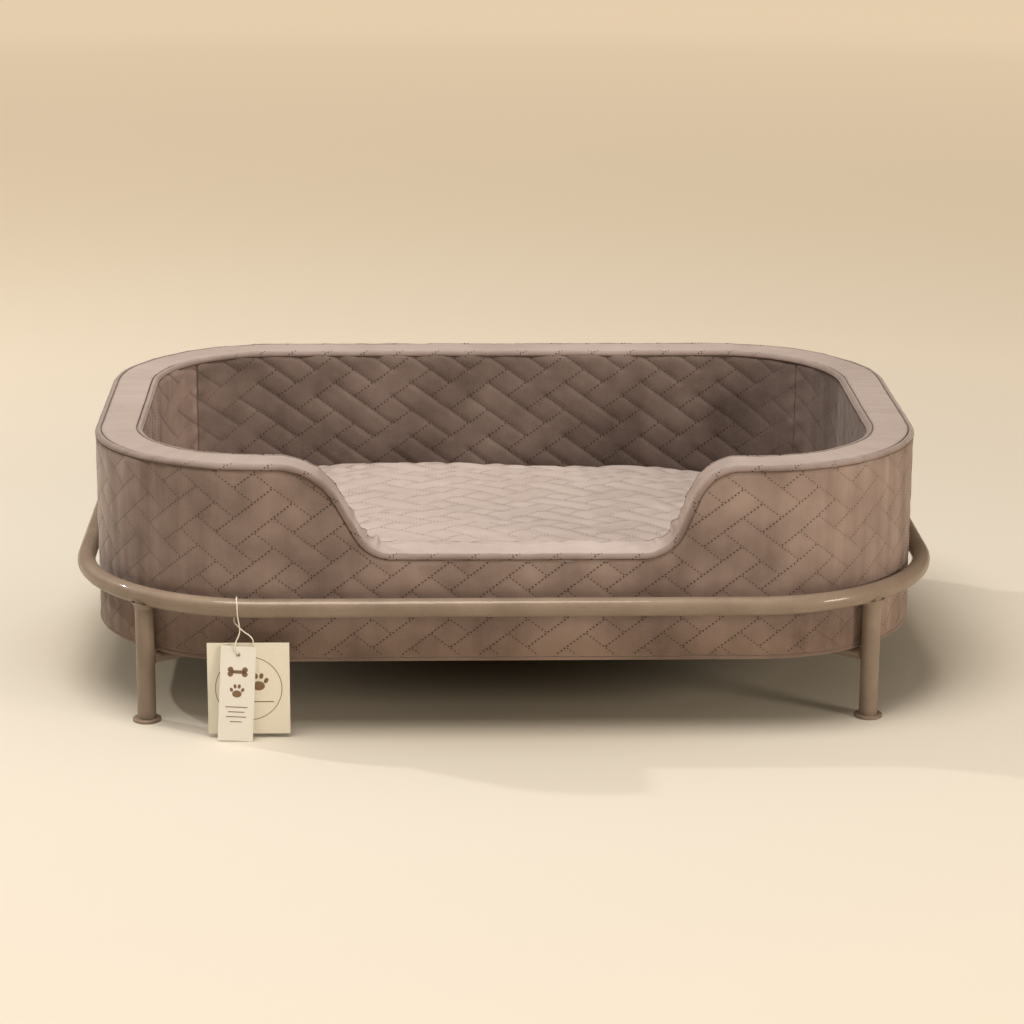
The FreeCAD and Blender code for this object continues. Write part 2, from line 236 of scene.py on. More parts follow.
def velvet_material(name, lit_top, pale=None, painted_light=None, sheen=0.55):
    """Velvet, brushed in patches and streaks. Faces that look up take the two lighter colours it is given
    after its name, as painted light from above; the sides keep the darker pile.
    With pale and tones, a wall's cover: streaked up the ends, in the colours of pale where its mark says so,
    painted lighter or darker along the wall by tones at places of the wall, as light and shade fall on it,
    and painted darker towards its foot as shade under the ring. A mark on the mesh paints shade into creases
    and seams, and darkens the bands."""
    s = Shader(name, (0.26, 0.19, 0.17), 0.88)
    patches = s.noise(10.0, 3.0, 0.6)
    if pale:
        streaks = s.noise(1.0, 3.0, 0.6, s.place((44.0, 3.5, 1.0), "UV"))
        along = s.axis("X", s.place((1, 1, 1), "UV"))
        streaky = greys((0.25, 0.15), (0.36, 0.50), (0.80, 0.50), (0.92, 0.15))
        ends = s.ramp(s.math("ABSOLUTE", along, 0.0), streaky)
        nap = s.mix(ends, patches, streaks)
    else:
        streaks = s.noise(1.0, 3.0, 0.6, s.place((6.0, 30.0, 6.0)))
        nap = s.mix(0.5, patches, streaks)
    upright = s.ramp(nap, UPRIGHT_PILE)
    lit_top = s.ramp(nap, [(0.36, lit_top[0]), (0.64, lit_top[1])])
    # Painted light and shade: walls and their top faces are made lighter or darker at places along the wall,
    # as light falls on them.
    if pale:
        turn = s.math("DIVIDE", s.math("ADD", along, AROUND / 2), 2 * AROUND)
        upright = s.mix(1.0, upright, s.ramp(turn, wall_stops(painted_light, PAINTED_LIGHT_LIMIT)), "MULTIPLY")
        upright = s.mix(1.0, upright, (PAINTED_LIGHT_LIMIT,) * 3, "MULTIPLY")
        lit_top = s.mix(1.0, lit_top, s.ramp(turn, wall_stops(TOP_PAINTED_LIGHT, 1.0)), "MULTIPLY")
        mark = s.node("ShaderNodeAttribute", attribute_name="pale").outputs["Fac"]
        lit_top = s.mix(mark, lit_top, s.ramp(nap, [(0.36, pale[0]), (0.64, pale[1])]))
    # Painted light: faces that look up take the lighter colours, as if lit from above, and the sides keep the
    # darker pile.
    facing = s.axis("Z", s.node("ShaderNodeTexCoord").outputs["Normal"])
    base = s.mix(s.ramp(facing, greys((0.40, 0), (0.97, 1))), upright, lit_top)
    # Painted shade: a wall's cover gets darker towards its foot, under the ring.
    if pale:
        foot = s.ramp(s.axis("Z", s.place()), [(BASKET_LOW + 0.012, (0.80, 0.74, 0.66)), (0.140, (1, 1, 1))])
        base = s.mix(1.0, base, foot, "MULTIPLY")
    # Painted shade in creases and seams, from the mark on the mesh, which also makes the bands darker.
    crease_shade_and_dark_band = s.node("ShaderNodeAttribute", attribute_name="crease_shade_and_dark_band").outputs["Fac"]
    base = s.mix(s.math("MULTIPLY", crease_shade_and_dark_band, 0.62), base, (0.055, 0.036, 0.030))
    fine = s.noise(520.0, 3.0, 0.7)
    base = s.mix(s.math("MULTIPLY", s.math("SUBTRACT", fine, 0.35), 0.35), base, (0.50, 0.42, 0.39))
    s.colour(base)
    s.link(s.ramp(nap, greys((0.3, 0.95), (0.7, 0.80))), s.main.inputs["Roughness"])
    s.keep({"Sheen Weight": sheen, "Sheen Roughness": 0.42, "Sheen Tint": (0.93, 0.84, 0.80, 1),
            "Specular IOR Level": 0.15})
    pile = s.bump(s.noise(1500.0, 2.0, 0.6), 0.22, 0.0005)
    s.bump(s.noise(70.0, 4.0, 0.6), 0.22, 0.0014, pile)
    return s.material


def metal_material():
    """Satin powder coat with a fine metallic sparkle, rubbed lighter here and there."""
    s = Shader("frame_coat", (0.27, 0.205, 0.155), 0.50, 0.12)
    cloud = s.noise(22.0, 3.0, 0.55)
    coat = s.ramp(cloud, [(0.35, (0.262, 0.200, 0.152)), (0.65, (0.318, 0.246, 0.190))])
    sparkle = s.noise(1900.0, 1.0, 0.5)
    coat = s.mix(s.math("MULTIPLY", s.math("GREATER_THAN", sparkle, 0.66), 0.35), coat, (0.60, 0.50, 0.42))
    s.colour(coat)
    s.link(s.ramp(s.noise(90.0, 3.0, 0.6), greys((0.3, 0.50), (0.7, 0.62))), s.main.inputs["Roughness"])
    s.keep({"Specular IOR Level": 0.25, "Coat Weight": 0.44, "Coat Roughness": 0.07})
    s.bump(s.noise(700.0, 2.0, 0.5), 0.10, 0.0002)
    return s.material


def backdrop_material():
    """Matt paper with painted light: a little yellower and glowing further away, as if lit from behind there,
    and a painted shadow right under the bed.
    """
    s = Shader("backdrop_paper", (0.80, 0.735, 0.645), 0.9)
    away = s.math("DIVIDE", s.length(s.place()), 6.5)
    # Painted light: the paper turns yellower further away.
    paper = s.ramp(away, [(0.05, (0.715, 0.710, 0.675)), (0.45, (0.76, 0.64, 0.48))], "B_SPLINE")
    cloud = s.noise(2.5, 2.0, 0.5)
    paper = s.mix(s.math("MULTIPLY", cloud, 0.06), paper, (0.70, 0.62, 0.50))
    # Painted shadow: darker right under the bed.
    beneath = s.length(s.place((1.0, 1.5, 1.0)))
    painted_shadow_under_bed = s.ramp(beneath, [(0.36, (0.52, 0.46, 0.36)), (0.56, (1, 1, 1))], "B_SPLINE")
    s.colour(s.mix(1.0, paper, painted_shadow_under_bed, "MULTIPLY"))
    # Painted light: the paper glows further away, though it is no lamp.
    painted_glow = [(0.04, (0, 0, 0)), (0.24, (0.195, 0.165, 0.120)), (0.80, (0.66, 0.53, 0.37))]
    s.link(s.ramp(away, painted_glow, "B_SPLINE"), s.main.inputs["Emission Color"])
    s.keep({"Emission Strength": 1.0, "Specular IOR Level": 0.2})
    s.bump(s.noise(120.0, 3.0, 0.6), 0.03, 0.0005)
    return s.material


def plain_material(name, dark, light, scale, roughness=0.85, depth=0.0005, bumpy=0.35, rough=0.65):
    """A material with one fine grain, for card, prints, thread, board and foam."""
    s = Shader(name, light, roughness)
    grain = s.noise(scale, 4.0, rough)
    s.colour(s.ramp(grain, [(0.3, dark), (0.7, light)]))
    s.bump(grain, bumpy, depth)
    return s.material


def woven_material(name, dark, light, pitch=0.0011):
    """Plain weave: two sets of threads over and under each other."""
    s = Shader(name, light, 0.9)
    waves = []
    for direction in ("X", "Y"):
        wave = s.node("ShaderNodeTexWave", wave_type="BANDS", bands_direction=direction)
        wave.inputs["Scale"].default_value = 0.314 / pitch
        wave.inputs["Distortion"].default_value = 0.6
        s.link(s.place(), wave.inputs["Vector"])
        waves.append(wave.outputs["Fac"])
    weave = s.math("MULTIPLY", waves[0], waves[1])
    s.colour(s.ramp(weave, [(0.1, dark), (0.7, light)]))
    s.bump(weave, 0.4, 0.0004)
    return s.material


def put_on(thing, material):
    thing.data.materials.clear()
    thing.data.materials.append(material)


# ---- meshes from grids of points
def new_piece(name, mesh, material, body, slot, *stands_for):
    mesh.shade_smooth()
    mesh.materials.append(material)
    piece = new_object(name, mesh)
    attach(piece, body)
    if stands_for:
        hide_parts(*stands_for)
    return piece


def grid_mesh(name, points, across, crease_shade_and_dark_band=None, pale=None, loop=True):
    """A mesh of quads from points[row, column], whose last row meets its first one, as its last column does
    in a loop. across is each column's place along the wall, for UV."""
    rows, columns = points.shape[:2]
    index = np.arange(rows * columns).reshape(rows, columns)
    r, c = np.arange(rows), np.arange(columns if loop else columns - 1)
    r1, c1 = (r + 1) % rows, (c + 1) % columns
    corners = [np.ix_(r, c), np.ix_(r, c1), np.ix_(r1, c1), np.ix_(r1, c)]
    quads = np.stack([index[corner] for corner in corners], -1).reshape(-1, 4)
    mesh = new_mesh(name, points.reshape(-1, 3).tolist(), quads.tolist())
    step = np.append(across, across[-1] + (across[1] - across[0]))
    here, there = (np.broadcast_to(step[place], (len(r), len(c))) for place in (c, c + 1))
    u = np.stack([here, there, there, here], -1)
    v = np.stack([points[..., 2][corner] for corner in corners], -1)
    layer = mesh.uv_layers.new(name="place")
    layer.data.foreach_set("uv", np.stack([u, v], -1).reshape(-1).astype(np.float32))
    for mark, values in (("crease_shade_and_dark_band", crease_shade_and_dark_band), ("pale", pale)):
        layer = mesh.attributes.new(mark, "FLOAT", "POINT")
        if values is not None:
            values = np.broadcast_to(values, (rows, columns)).reshape(-1)
            layer.data.foreach_set("value", values.astype(np.float32))
    return mesh


# ---- the basket's plan and crest line
STRAIGHT_X = HALF_X - CORNER        # half the straight run of the front and back walls
STRAIGHT_Y = HALF_Y - CORNER
BEND = CORNER * math.pi / 2
AROUND = 4 * STRAIGHT_X + 4 * STRAIGHT_Y + 4 * BEND
# Places along the wall run from the middle of the back, by the left end, the front and the right end.
# A place on the front wall equals its X.
CREST_STEP = 0.0027                 # about how far apart the crest's points are
TO_RIGHT = STRAIGHT_X + BEND                    # where the right end's straight run starts
TO_BACK = TO_RIGHT + 2 * STRAIGHT_Y + BEND      # where the back's straight run starts


def wrapped(place):
    """The same place, at most half the way round from zero."""
    return (np.asarray(place, float) + AROUND / 2) % AROUND - AROUND / 2


def plan(place, inset):
    """Point and outward direction at places along the wall, inset from its outer face."""
    place = wrapped(place)
    side = np.where(place < 0, -1.0, 1.0)
    run = np.abs(place)
    on_bend = np.clip((run - STRAIGHT_X) / CORNER, 0, math.pi / 2)
    on_back_bend = np.clip((run - TO_RIGHT - 2 * STRAIGHT_Y) / CORNER, 0, math.pi / 2)
    angle = on_bend + on_back_bend
    x = np.clip(run, 0, STRAIGHT_X) - np.clip(run - TO_BACK, 0, STRAIGHT_X)
    y = -STRAIGHT_Y + np.clip(run - TO_RIGHT, 0, 2 * STRAIGHT_Y)
    normal = np.stack([side * np.sin(angle), -np.cos(angle)], -1)
    skeleton = np.stack([side * x, y], -1)
    reach = np.asarray(CORNER - inset)
    return skeleton + normal * reach[..., None] if reach.ndim else skeleton + normal * reach, normal


def rounded_line(points, radii, step):
    """Points about step apart on straight runs joined by tangent arcs, and the heading at each."""
    spots, headings = [], []
    start = np.array(points[0], float)
    for i in range(1, len(points)):
        corner = np.array(points[i], float)
        before = (corner - np.array(points[i - 1])) / np.linalg.norm(corner - np.array(points[i - 1]))
        turn, reach = 0.0, 0.0
        if i < len(points) - 1:
            after = (np.array(points[i + 1]) - corner) / np.linalg.norm(np.array(points[i + 1]) - corner)
            turn = math.atan2(before[0] * after[1] - before[1] * after[0], before @ after)
            reach = radii[i] * math.tan(abs(turn) / 2)
        end = corner - before * reach
        count = max(1, round(np.linalg.norm(end - start) / step))
        heading = math.atan2(before[1], before[0])
        for k in range(count):
            spots.append(start + (end - start) * k / count)
            headings.append(heading)
        if reach:
            centre = end + np.array([-before[1], before[0]]) * math.copysign(radii[i], turn)
            count = max(2, round(radii[i] * abs(turn) / (step * 0.6)))
            for k in range(count):
                a = heading + turn * k / count
                normal = np.array([-math.sin(a), math.cos(a)]) * math.copysign(radii[i], turn)
                spots.append(centre - normal)
                headings.append(a)
            start = corner + after * reach
    return np.array(spots), np.array(headings)


def entrance_corners(drop):
    """The entrance's four corners from left to right as (x, z, bend radius), moved into the wall by drop."""
    corners = []
    for (shoulder_x, foot_x, shoulder_r, foot_r), side in ((LEFT_SLOPE, -1), (RIGHT_SLOPE, 1)):
        shift = side * drop * math.tan(math.atan2(TOP - SILL, abs(shoulder_x - foot_x)) / 2)
        pair = [(shoulder_x + shift, TOP - drop, shoulder_r - drop),
                (foot_x + shift, SILL - drop, foot_r + drop)]
        corners += pair if side < 0 else pair[::-1]
    return corners


def crest_line(drop, step=CREST_STEP):
    """The wall's top edge, all the way round: place along the wall, height, and heading in the wall."""
    corners = entrance_corners(drop)
    level = TOP - drop
    points = [(-AROUND / 2, level)] + [(x, z) for x, z, r in corners] + [(AROUND / 2, level)]
    spots, headings = rounded_line(points, [0.0] + [r for x, z, r in corners] + [0.0], step)
    return spots[:, 0], spots[:, 1], headings


def settled(place, height):
    """The soft wall stands a little taller at the back and front left, and lower at the front right."""
    run = np.abs(wrapped(place))
    lean = 0.0028 * smooth((run - TO_RIGHT) / (TO_BACK - TO_RIGHT))
    tilt = np.sin(np.clip(place / (STRAIGHT_X + BEND), -1, 1) * math.pi) * (run < TO_RIGHT)
    lean = lean - np.where(tilt < 0, 0.0020, 0.0008) * tilt
    return height + lean * smooth((height - RING_Z) / (TOP - RING_Z))


def on_grid(points, column, row):
    """Points between the points[row, column] of a grid."""
    c = np.clip(np.floor(column).astype(int), 0, points.shape[1] - 2)
    r = np.clip(np.floor(row).astype(int), 0, points.shape[0] - 2)
    x, y = (column - c)[:, None], (row - r)[:, None]
    return ((points[r, c] * (1 - x) + points[r, c + 1] * x) * (1 - y)
            + (points[r + 1, c] * (1 - x) + points[r + 1, c + 1] * x) * y)


def sew(name, points, rows, to_grid, thread, size=1.0, falling=(0.0020, 0.0012), from_inside=False):
    """Lay stitches on a grid of cloth. to_grid turns a stitch's two lengths into column and row. falling is
    the length and thickness of the stitches that fall along the wall."""
    scale = 0.0008 / np.hypot(rows[:, 2], rows[:, 3])
    first, second = rows[:, 0], rows[:, 1]
    middles = on_grid(points, *to_grid(first, second))
    ahead = on_grid(points, *to_grid(first + rows[:, 2] * scale, second + rows[:, 3] * scale))
    column, row = to_grid(first, second)
    outwards = np.cross(on_grid(points, column + 0.5, row) - on_grid(points, column - 0.5, row),
                        on_grid(points, column, row + 0.5) - on_grid(points, column, row - 0.5))
    outwards /= np.linalg.norm(outwards, axis=1, keepdims=True)
    rising = ((rows[:, 3] > 0) != from_inside)[:, None]
    size = np.broadcast_to(size, (len(rows),))[:, None]
    length = np.where(rising, 0.0021, falling[0]) * (0.5 + size / 2)
    thick = np.where(rising, 0.0018, falling[1]) * size
    mesh = stitch_mesh(name, middles + outwards * 0.0001, ahead - middles, outwards, length, thick)
    return new_piece(name, mesh, thread, "basket", "velvet")


def fading(place, least):
    """Stitches sink into the pile where the wall turns to its ends."""
    run = np.abs(wrapped(place))
    into = smooth((run - STRAIGHT_X) / (BEND * 0.55)) * smooth((TO_BACK - run) / (BEND * 0.55))
    return 1 - (1 - least) * into


def height_under_crest(place, drop):
    at, height, heading = crest_line(drop, 0.001)
    return np.interp(place, at, height)


def sweep(insets, depths):
    """Points[section, along] of a section swept along the crest, from insets and depths of the same shape.
    Depths are measured square to the crest."""
    at, height, heading = crest_line(0.0)
    place = at[None, :] + depths * np.sin(heading)
    z = height[None, :] - depths * np.cos(heading)
    flat, _ = plan(place, insets)
    return np.concatenate([flat, settled(place, z)[..., None]], -1)


# ---- quilting
class Quilting:
    """Stitch lines at two slants. A quarter of every line is left out, which makes a basket pattern."""

    def __init__(self, half_width, half_height, zero_place, zero_height):
        self.w, self.h = half_width, half_height
        self.x0, self.z0 = zero_place, zero_height

    def to_uv(self, place, height):
        a = (np.asarray(place) - self.x0) / self.w
        b = (np.asarray(height) - self.z0) / self.h
        return (a - b) / 2, (a + b) / 2

    def to_place(self, u, v):
        return self.x0 + (u + v) * self.w, self.z0 + (v - u) * self.h

    @staticmethod
    def gap(fixed, along, low_for_01, low_for_23):
        """How far 'along' lies inside the left-out quarter of the line numbered 'fixed', in units."""
        low = np.where(np.mod(fixed, 4) < 1.5, low_for_01, low_for_23)
        inside = np.mod(along - low, 4)
        return np.where(inside < 1.0, np.minimum(inside, 1.0 - inside), 0.0)

    def distances(self, place, height):
        """Distances in metres to the nearest rising and the nearest falling stitch line."""
        u, v = self.to_uv(place, height)
        size = math.hypot(self.w, self.h)
        square = 2 * self.w * self.h / size

        def nearest(across, along, lows):
            return np.minimum(*(np.hypot((across - line) * square, self.gap(line, along, *lows) * size)
                                for line in (np.floor(across), np.floor(across) + 1)))

        return nearest(u, v, (2, 0)), nearest(v, u, (0, 2))

    def relief(self, place, height, width, marks=(0.15, 0.10), shallow=0.6, from_inside=False):
        """From 0 on a falling line to 1 between the lines, with shallower rising lines, and a mark of painted
        shade along the lines.
        Seen from inside the basket, the rising lines are the falling ones."""
        rising, falling = self.distances(place, height)
        if from_inside:
            rising, falling = falling, rising
        lift = (1 - np.exp(-(falling / width) ** 1.2)) * (1 - shallow * np.exp(-(rising / width) ** 1.4))
        # Painted shade along the stitch lines.
        mark = np.maximum(marks[0] * bell(falling, 0.0011),
                          marks[1] * bell(rising, 0.0012))
        return lift, mark

    def stitches(self, place_range, height_range, per_unit=6):
        """Middles and slants of the stitches inside a range, rising ones first: place, height, direction."""
        corners = self.to_uv(np.array([place_range[0], place_range[1]] * 2),
                             np.array([height_range[0]] * 2 + [height_range[1]] * 2))
        numbers_u, numbers_v = (range(math.floor(min(ends)), math.ceil(max(ends)) + 1) for ends in corners)
        spread = (np.arange(per_unit) + 0.5) / per_unit
        found = []
        for rising, lines, starts in ((True, numbers_u, numbers_v), (False, numbers_v, numbers_u)):
            for line in lines:
                for start in starts:
                    if self.gap(np.array(line), np.array(start + 0.5), *((2, 0) if rising else (0, 2))) == 0:
                        spot = self.to_place(*((line, start + spread) if rising else (start + spread, line)))
                        slant = self.w, (self.h if rising else -self.h)
                        found.append(np.stack([*spot, *(np.full(per_unit, part) for part in slant)], -1))
        rows = np.concatenate(found)
        keep = ((rows[:, 0] > place_range[0]) & (rows[:, 0] < place_range[1])
                & (rows[:, 1] > height_range[0]) & (rows[:, 1] < height_range[1]))
        return rows[keep]


def smooth(value):
    value = np.clip(value, 0, 1)
    return value * value * (3 - 2 * value)


def bell(value, width):
    return np.exp(-(value / width) ** 2)


class Waves:
    """A smooth random surface: a fixed sum of sine waves, from -1 to 1 or so."""

    def __init__(self, seed, longest, shortest, count=14, stretch=(1.0, 1.0)):
        generator = np.random.default_rng(seed)
        length = np.geomspace(longest, shortest, count)
        turn = generator.uniform(0, 2 * math.pi, count)
        self.kx = 2 * math.pi / length * np.cos(turn) / stretch[0]
        self.kz = 2 * math.pi / length * np.sin(turn) / stretch[1]
        self.phase = generator.uniform(0, 2 * math.pi, count)
        self.size = (length / longest) ** 0.6
        self.size = self.size / np.sqrt((self.size ** 2).sum() / 2) / 2

    def __call__(self, x, z):
        x, z = np.asarray(x)[..., None], np.asarray(z)[..., None]
        return (np.sin(self.kx * x + self.kz * z + self.phase) * self.size).sum(-1)


def stitch_mesh(name, middles, directions, outwards, length=0.0024, thick=0.0012):
    """Short threads: one stretched octahedron for each stitch."""
    along = directions / np.linalg.norm(directions, axis=1, keepdims=True)
    outwards = outwards / np.linalg.norm(outwards, axis=1, keepdims=True)
    across = np.cross(along, outwards)
    across /= np.linalg.norm(across, axis=1, keepdims=True)
    corners = np.stack([middles + along * length / 2, middles - along * length / 2,
                        middles + across * thick / 2, middles - across * thick / 2,
                        middles + outwards * thick / 2, middles - outwards * thick / 2], 1)
    faces = np.array([(0, 2, 4), (2, 1, 4), (1, 3, 4), (3, 0, 4), (2, 0, 5), (1, 2, 5), (3, 1, 5), (0, 3, 5)])
    every = (np.arange(len(middles)) * 6)[:, None, None] + faces[None]
    return new_mesh(name, corners.reshape(-1, 3).tolist(), every.reshape(-1, 3).tolist())


# ---- basket panels
OUTER_QUILT = Quilting(0.0195, 0.015, 0.2707, 0.2208)
INNER_QUILT = Quilting(0.022, 0.0155, 0.010, 0.2080)
TOP_QUILT = Quilting(0.022, 0.0165, 0.0, 0.0)
EDGE_BAND = 0.0062                  # how far the edge bands reach over the top
SEAM_DROP = 0.0050                  # how far below the crest the wall panels are sewn to them
PANEL_ROWS = 76                     # rows of points up a wall panel
INNER_SEAM_X = 0.340                # X of the inner cover's two upright seams
PLEATS = ((-0.1401, 0.017, 1.0), (0.1587, 0.016, 0.9), (-0.1921, 0.030, 0.12), (0.1967, 0.026, 0.12))


def closed_panel(name, place, low, inset_of, back_inset, loop):
    """A panel of cloth with thickness: a fine front, and a plain back that closes it."""
    top = height_under_crest(place, SEAM_DROP)
    rows = PANEL_ROWS
    share = np.linspace(0, 1, rows)
    height = low + (top - low)[None, :] * share[:, None]
    places = np.broadcast_to(place, height.shape)
    inset, crease_shade_and_dark_band = inset_of(places, height, top[None, :])
    flat, _ = plan(places, inset)
    front = np.concatenate([flat, settled(places, height)[..., None]], -1)
    back_rows = [rows - 1, int(rows * 0.66), int(rows * 0.33), 0]
    flat_back, _ = plan(places[back_rows], np.full((4, len(place)), back_inset))
    back = np.concatenate([flat_back, front[back_rows][..., 2:]], -1)
    points = np.concatenate([front, back])
    crease_shade_rows = np.concatenate([crease_shade_and_dark_band, np.zeros((4, len(place)))])
    mesh = grid_mesh(name, points, place, crease_shade_rows, loop=loop)
    if not loop:
        cap_ends(mesh, points.shape[0], points.shape[1])

    def to_grid(at, z):
        column = (at - place[0]) / (place[1] - place[0])
        share = (z - low) / (np.interp(at, place, top) - low)
        return column, share * (rows - 1)

    return mesh, front, to_grid


def cap_ends(mesh, rows, columns):
    """Close both ends of a tube of points with one face each."""
    work = bmesh.new()
    work.from_mesh(mesh)
    work.verts.ensure_lookup_table()
    work.faces.new([work.verts[r * columns] for r in range(rows)])
    work.faces.new([work.verts[r * columns + columns - 1] for r in reversed(range(rows))])
    bmesh.ops.recalc_face_normals(work, faces=work.faces)
    work.to_mesh(mesh)
    work.free()


def outer_panel(velvet, thread):
    place = np.linspace(-AROUND / 2, AROUND / 2, 1001)[:-1]
    waves = Waves(11, 0.30, 0.035, stretch=(1.0, 1.6))
    folds = Waves(12, 0.12, 0.03, stretch=(0.5, 3.0))

    def inset_of(places, height, top):
        relief, crease_shade_and_dark_band = OUTER_QUILT.relief(places, height, 0.0042)
        edge = np.clip(top - height, 0, None)
        bend = np.minimum(np.abs(np.abs(places) - STRAIGHT_X - BEND / 2),
                          np.abs(np.abs(places) - TO_BACK + BEND / 2))
        lift = 0.0007 * relief + waves(places, height) * 0.0008
        lift = lift + folds(places, height) * 0.0008 * smooth(1 - bend / (BEND * 0.6))
        lift = lift - 0.0012 * bell(edge, 0.0030)
        # Painted shade in the crease at the panel's top seam.
        crease_shade_and_dark_band = np.maximum(crease_shade_and_dark_band, bell(edge, 0.0011))
        squeezed = bell(height - RING_Z, 0.016)
        inset = 0.0013 - lift + 0.0004 * squeezed
        low = -0.0006 + 0.0012 * squeezed
        return np.clip(inset, low, np.where(edge < 0.004, 0.0030, 0.0018)), crease_shade_and_dark_band

    mesh, front, to_grid = closed_panel("outer_panel", place, BASKET_LOW + 0.0042, inset_of, 0.0045, True)
    new_piece("outer_panel", mesh, velvet, "basket", "velvet", "outer_cover")
    rows = OUTER_QUILT.stitches((place[1], place[-2]), (BASKET_LOW + 0.006, TOP))
    rows = rows[rows[:, 1] < height_under_crest(rows[:, 0], SEAM_DROP + 0.0015)]
    sew("outer_stitches", front, rows, to_grid, thread, fading(rows[:, 0], 0.50))


def inner_panels(velvet, thread):
    seam_left, seam_right = seam_place(-1), seam_place(1)
    waves = Waves(21, 0.22, 0.03, stretch=(1.0, 1.3))
    front_middle = (LEFT_SLOPE[1] + RIGHT_SLOPE[1]) / 2
    spans = {"back": (seam_right, seam_left + AROUND), "left": (seam_left, front_middle),
             "right": (front_middle, seam_right)}
    mattress_line = 0.135

    def inset_of(places, height, top):
        relief, crease_shade_and_dark_band = INNER_QUILT.relief(inner_run(places), height, 0.0032, (0.70, 0.10), 0.06, True)
        shown = smooth((height - mattress_line + 0.02) / 0.03)
        edge = np.clip(top - height, 0, None)
        lift = 0.0003 + 0.0018 * relief * fading(places, 0.35) + waves(places, height) * 0.0013
        lift = lift - 0.0014 * bell(edge, 0.0035)
        # Painted shade in the crease at the panel's top seam.
        crease_shade_and_dark_band = np.maximum(crease_shade_and_dark_band, bell(edge, 0.0011))
        for seam in (seam_left, seam_right, seam_left + AROUND):
            side = np.abs(places - seam)
            dip = 0.0010 if seam != seam_right else 0.0002
            fan = np.cos(height * 2 * math.pi / 0.023 + places * 60) * 0.0006 * bell(side, 0.014)
            lift = lift - dip * bell(side, 0.0028) + fan
            # Painted shade in the upright seams.
            crease_shade_and_dark_band = np.maximum(crease_shade_and_dark_band, bell(side, 0.0012))
        return WALL - 0.0012 + np.clip(lift * shown, -0.0005, 0.0030), crease_shade_and_dark_band

    for side, (start, end) in spans.items():
        place = np.linspace(start + 0.00005, end - 0.00005, round((end - start) / 0.0025))
        name = "inner_panel_" + side
        mesh, front, to_grid = closed_panel(name, place, FLOOR_Z + 0.0005, inset_of, WALL - 0.0022, False)
        piece = new_piece(name, mesh, velvet, "basket", "velvet", "inner_cover_" + side)
        run = inner_run(place)
        if side == "back":
            run = np.where(place > AROUND / 2, run + 2 * inner_run(AROUND / 2 - 1e-9), run)
        rows = INNER_QUILT.stitches((run[1], run[-2]), (0.128, TOP))
        rows = rows[rows[:, 1] < height_under_crest(np.interp(rows[:, 0], run, place), SEAM_DROP + 0.0015)]
        sew("inner_stitches_" + side, front[:, ::-1], rows,
            lambda at, z: flipped(to_grid(np.interp(at, run, place), z), len(place)), thread,
            fading(np.interp(rows[:, 0], run, place), 0.40), (0.0020, 0.0009), True)


def flipped(spot, count):
    """The same grid place counted from the other end, so that outwards is into the basket."""
    return count - 1 - spot[0], spot[1]


def seam_place(side):
    """Place along the wall of the inner cover's upright seam on the back bend."""
    angle = math.asin((INNER_SEAM_X - STRAIGHT_X) / (CORNER - WALL))
    return side * (TO_BACK - CORNER * angle)


BEND_SHARE = (CORNER - WALL) / CORNER


def inner_run(place):
    """Length along the inner face, whose bends are shorter than the outer face's."""
    place = wrapped(place)
    run, side = np.abs(place), np.sign(place)
    first = np.clip(run - STRAIGHT_X, 0, BEND)
    second = np.clip(run - TO_BACK + BEND, 0, BEND)
    return side * (run - (first + second) * (1 - BEND_SHARE))


# ---- top edge: two bands and the panel between
class Crest:
    """The crest line with the length travelled along it, zero at X = 0 on the front."""

    def __init__(self):
        self.at, self.height, self.heading = crest_line(0.0)
        travel = np.concatenate([[0], np.cumsum(np.hypot(np.diff(self.at), np.diff(self.height)))])
        self.along = travel - np.interp(0.0, self.at, travel)
        self.ripple = Waves(31, 0.12, 0.012)
        phase = 2 * math.pi * self.along / 0.0190 + 0.9 * np.sin(self.along * 2 * math.pi / 0.047)
        self.pleat = np.cos(phase) + 0.4 * np.cos(0.61 * phase + np.random.default_rng(33).uniform(0, 6))
        self.gathers = sum(share * bell(self.at - middle, spread)
                           for middle, spread, share in PLEATS)

    def shaped(self, insets, depths):
        """A section's insets and depths all along the crest, with ripples, and gathers on its inner side."""
        insets = np.repeat(np.asarray(insets)[:, None], len(self.at), 1)
        depths = np.repeat(np.asarray(depths)[:, None], len(self.at), 1)
        inner = smooth((insets / WALL - 0.22) / 0.6)
        fold = np.maximum(self.pleat, -0.25) * self.gathers * (0.0002 + 0.0034 * inner)
        wave = self.ripple(self.along, insets * 3) * 0.0004
        spot, _ = plan(self.at, insets)
        relief, mark = TOP_QUILT.relief(spot[..., 0], spot[..., 1], 0.0065)
        low = smooth((SILL + 0.004 - self.height) / 0.004)
        sill = low * smooth((insets - EDGE_BAND - 0.002) / 0.006)
        # Painted shade along the sill's quilting lines.
        self.quilt_mark = mark * sill
        wave = wave - 0.0026 * bell(insets - WALL + 0.0064, 0.0030) * low
        wave = wave + (0.0009 - 0.0026 * relief) * sill
        shown = smooth((0.0062 - depths) / 0.003)
        highest = -0.0036 * np.minimum(self.gathers, 1) - 0.0018 * low
        depths = np.maximum(depths + (wave - fold) * shown, highest)
        insets = insets + np.maximum(fold, 0) * 0.8 * smooth((insets / WALL - 0.85) / 0.1)
        return insets, depths

    def marks(self, name, insets):
        """Bands are darker; the sill's top is as pale as the mattress and quilted like it, with painted shade
        along its quilting lines.
        """
        sill = smooth((SILL + 0.010 - self.height) / 0.008) * np.ones_like(insets)
        if name == "outer_edge_band":
            return np.full_like(insets, 0.42), None
        if name == "inner_edge_band":
            return 0.42 * (1 - sill), sill
        return self.quilt_mark, sill


def section_length(insets, depths):
    return np.concatenate([[0], np.cumsum(np.hypot(np.diff(insets), np.diff(depths)))])


